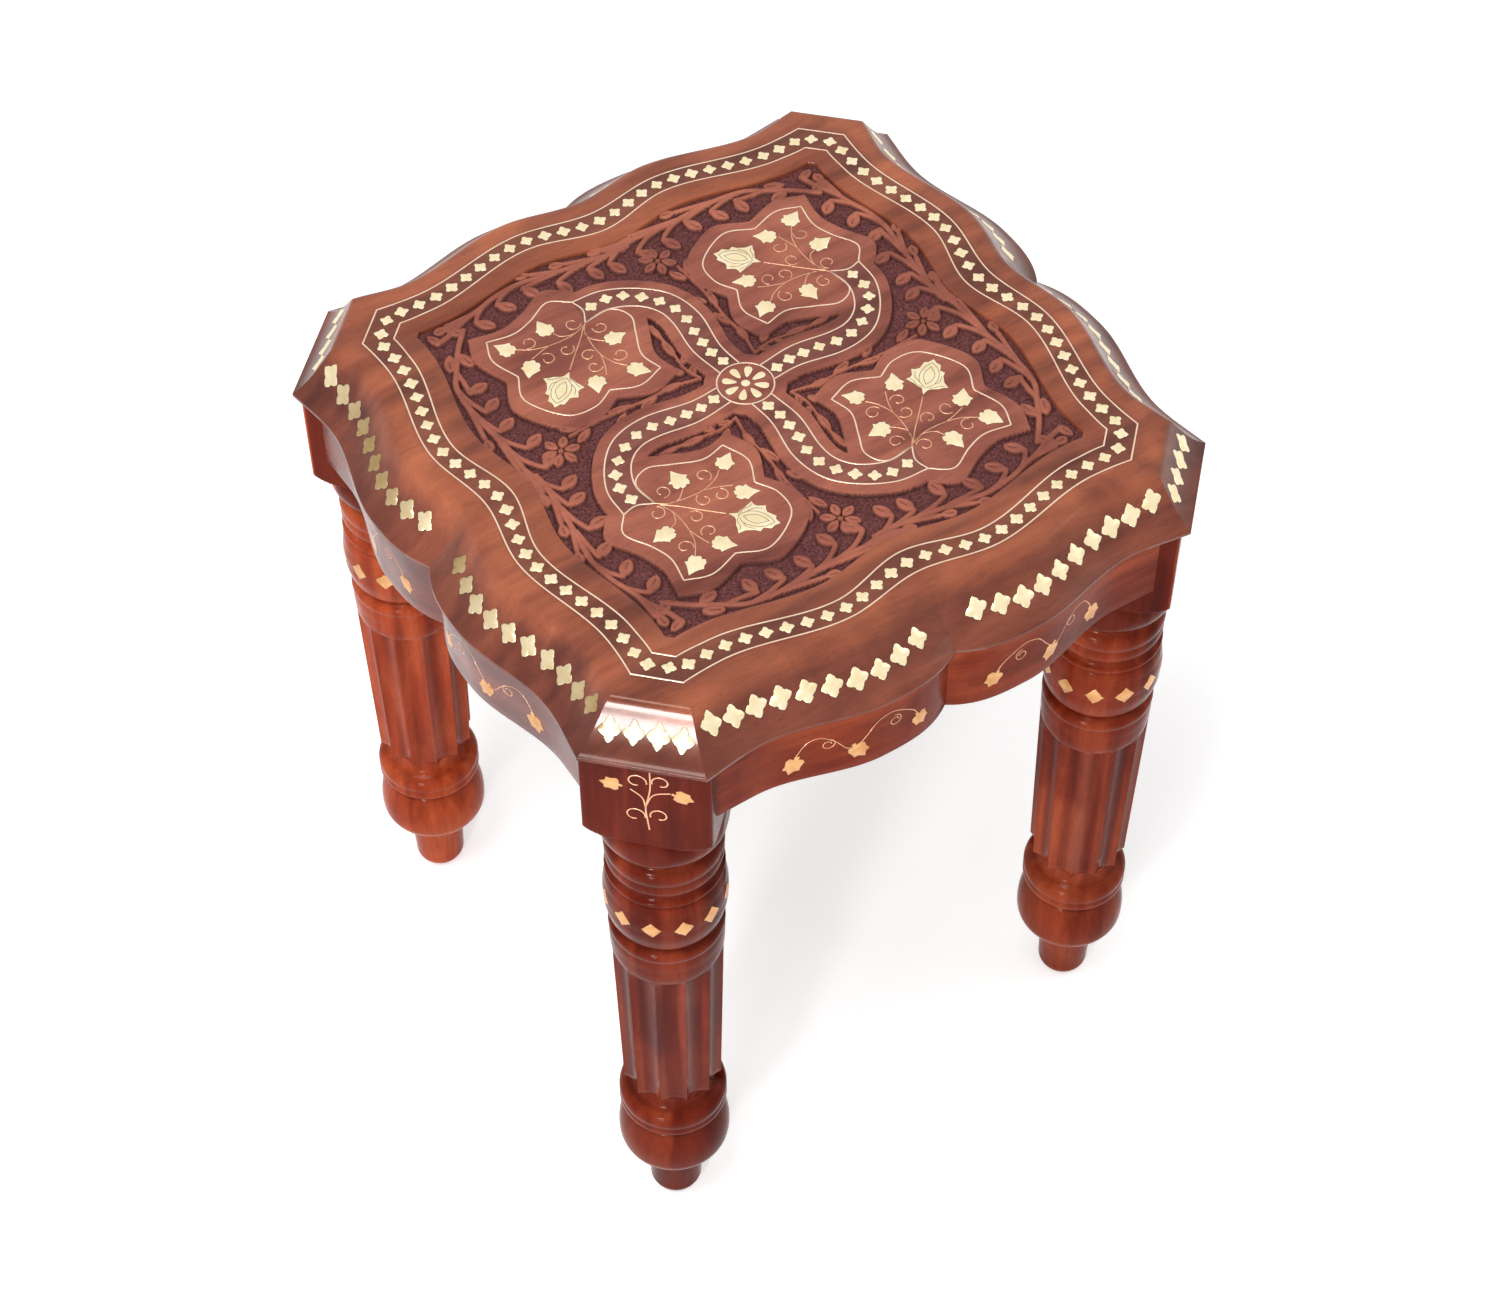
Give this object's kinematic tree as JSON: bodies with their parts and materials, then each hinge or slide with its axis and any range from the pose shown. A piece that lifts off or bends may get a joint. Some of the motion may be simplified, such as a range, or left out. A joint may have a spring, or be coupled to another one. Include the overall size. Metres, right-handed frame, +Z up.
{
  "type": "low table",
  "caption": "Carved hardwood low table with a lobed top, brass inlay, scalloped aprons and four turned, fluted legs.",
  "frame": {"origin": "middle of the table on the floor", "axes": "+Z up; -Y out of the front side, +X out of the right side; the legs stand on the diagonals"},
  "size_m": [0.318, 0.318, 0.37],
  "materials": {
    "wood_top": "polished red-brown rosewood, carved ground stained darker",
    "wood_apron": "polished red-brown rosewood",
    "wood_leg": "polished dark red-brown rosewood",
    "brass": "hammered sheet and wire brass, polished flush"
  },
  "bodies": {
    "root": {"top_board": "wood_top", "apron_front": "wood_apron", "apron_right": "wood_apron", "apron_back": "wood_apron", "apron_left": "wood_apron", "leg_front_left": "wood_leg", "leg_front_right": "wood_leg", "leg_back_right": "wood_leg", "leg_back_left": "wood_leg", "brass_border_wire_outer": "brass", "brass_border_wire_inner": "brass", "brass_border_diamonds": "brass", "brass_arm_wires": "brass", "brass_arm_diamonds": "brass", "brass_cartouche_wires": "brass", "brass_cartouche_leaves": "brass", "brass_lotus_flowers": "brass", "brass_rosette_ring": "brass", "brass_rosette_petals": "brass", "brass_bevel_chips": "brass", "brass_apron_leaves": "brass", "brass_leg_diamonds": "brass", "brass_sprig_leaves": "brass"}
  },
  "joints": []
}
